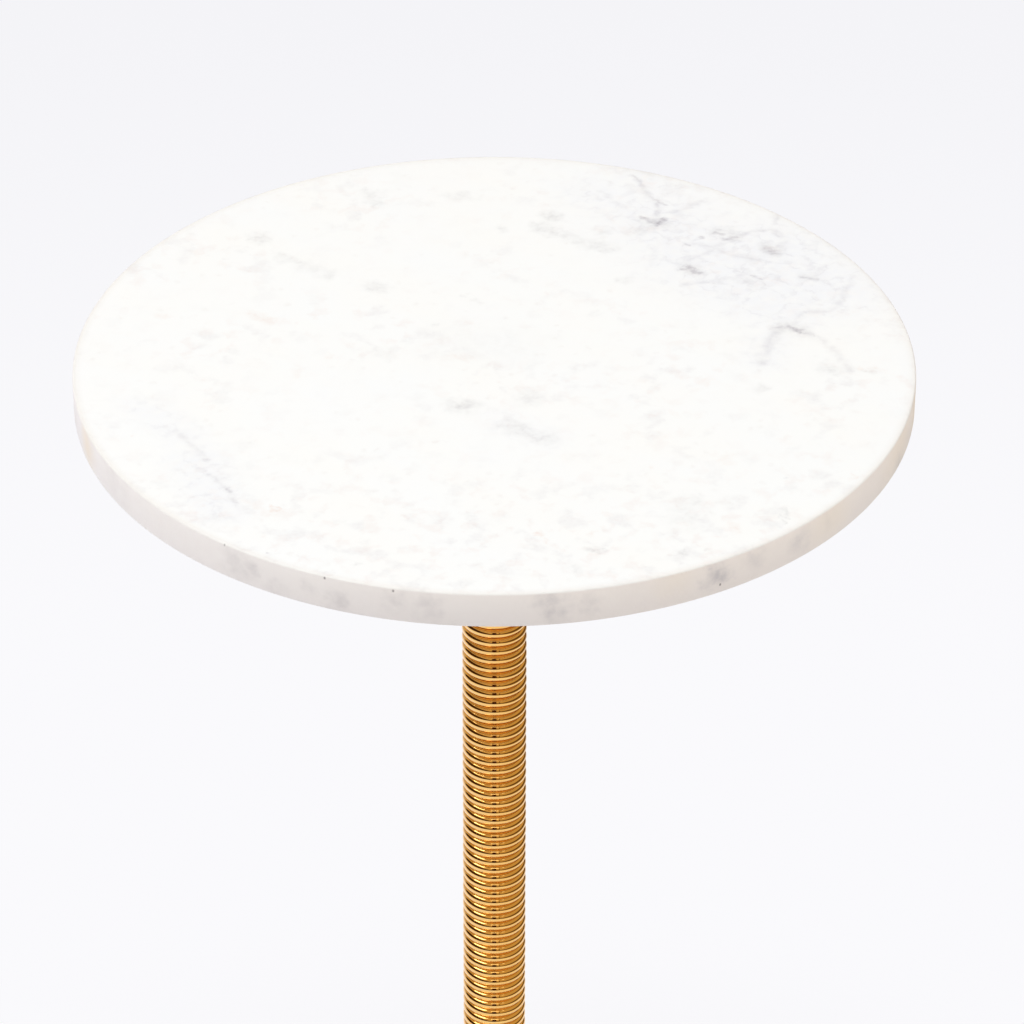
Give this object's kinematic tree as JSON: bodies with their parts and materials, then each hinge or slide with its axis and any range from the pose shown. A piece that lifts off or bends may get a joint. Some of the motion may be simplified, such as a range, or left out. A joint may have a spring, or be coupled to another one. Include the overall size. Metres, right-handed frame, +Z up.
{
  "type": "accent table",
  "caption": "Small round accent table: thin marble slab on a slim straight stem of stacked polished gold rings, bolted to a low domed round foot.",
  "frame": {"origin": "on the floor under the middle of the table, at the bottom of the pads", "axes": "+Z up along the stem; the part is round, so +X and +Y are free, with pads and screws at 45 degrees to them"},
  "size_m": [0.305, 0.305, 0.56],
  "materials": {
    "marble": "satin",
    "polished_gold": "polished",
    "gold_iron": "polished",
    "gold_steel": "satin",
    "raw_brass": "satin",
    "zinc_steel": "satin",
    "plain_steel": "matte",
    "rubber": "matte"
  },
  "bodies": {
    "root": {"marble_top": "marble", "thread_inserts": "raw_brass", "top_gasket": "rubber", "top_plate": "gold_steel", "plate_washers": "zinc_steel", "plate_screws": "zinc_steel", "core_tube": "plain_steel", "upper_collar": "polished_gold", "stem_rings": "polished_gold", "lower_collar": "polished_gold", "tube_plug": "plain_steel", "base_casting": "gold_iron", "base_washer": "zinc_steel", "spring_washer": "zinc_steel", "base_bolt": "zinc_steel", "base_pads": "rubber"}
  },
  "joints": []
}
